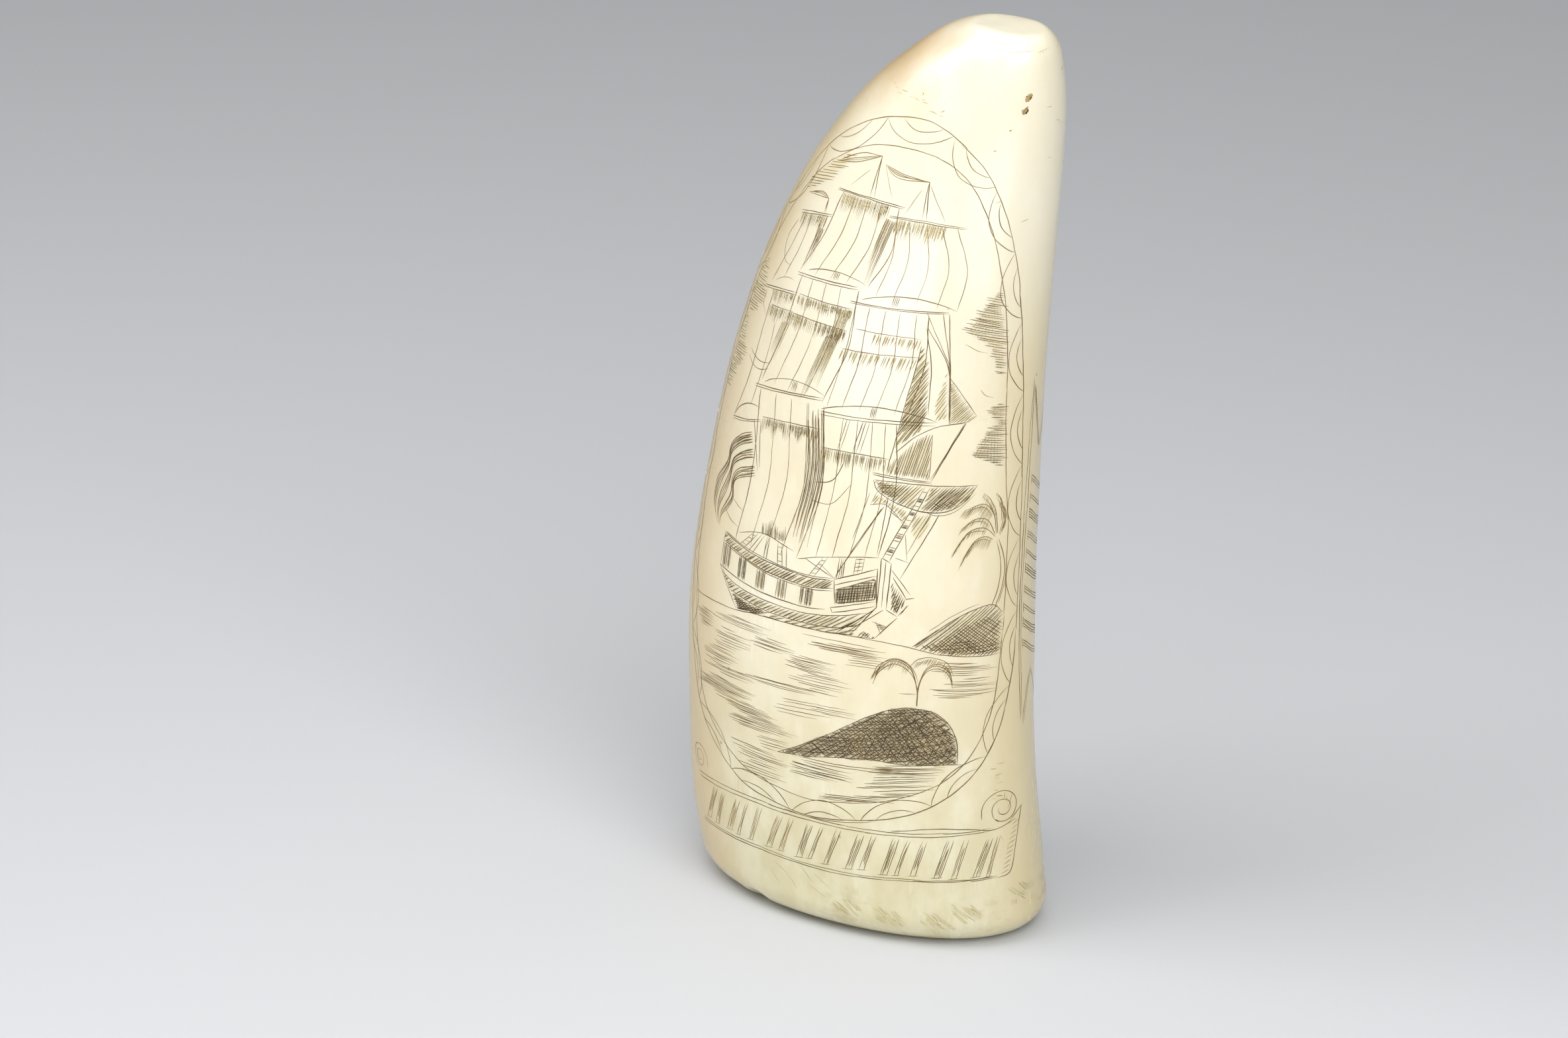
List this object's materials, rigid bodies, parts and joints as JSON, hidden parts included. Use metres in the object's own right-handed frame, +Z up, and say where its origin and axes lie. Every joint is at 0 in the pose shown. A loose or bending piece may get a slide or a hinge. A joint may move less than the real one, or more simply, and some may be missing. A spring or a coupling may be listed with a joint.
{
  "type": "scrimshaw whale tooth",
  "caption": "Polished whale tooth, sawn flat at the root so that it stands, with an inked engraving of a sailing ship at sea on its broad face.",
  "frame": {"origin": "middle of the tooth's box in plan, on the surface that it stands on", "axes": "+Z up along the tooth to its tip; +X along the long axis of the oval section, towards the side that the tip leans to; -Y out of the broad face that carries the engraving"},
  "size_m": [0.0622, 0.0348, 0.1504],
  "materials": {
    "ivory": "polished aged tooth ivory, warm cream",
    "engraving_ink": "brown-black lamp-black ink rubbed into scratched lines"
  },
  "bodies": {
    "root": {"tooth": "ivory"}
  },
  "joints": []
}
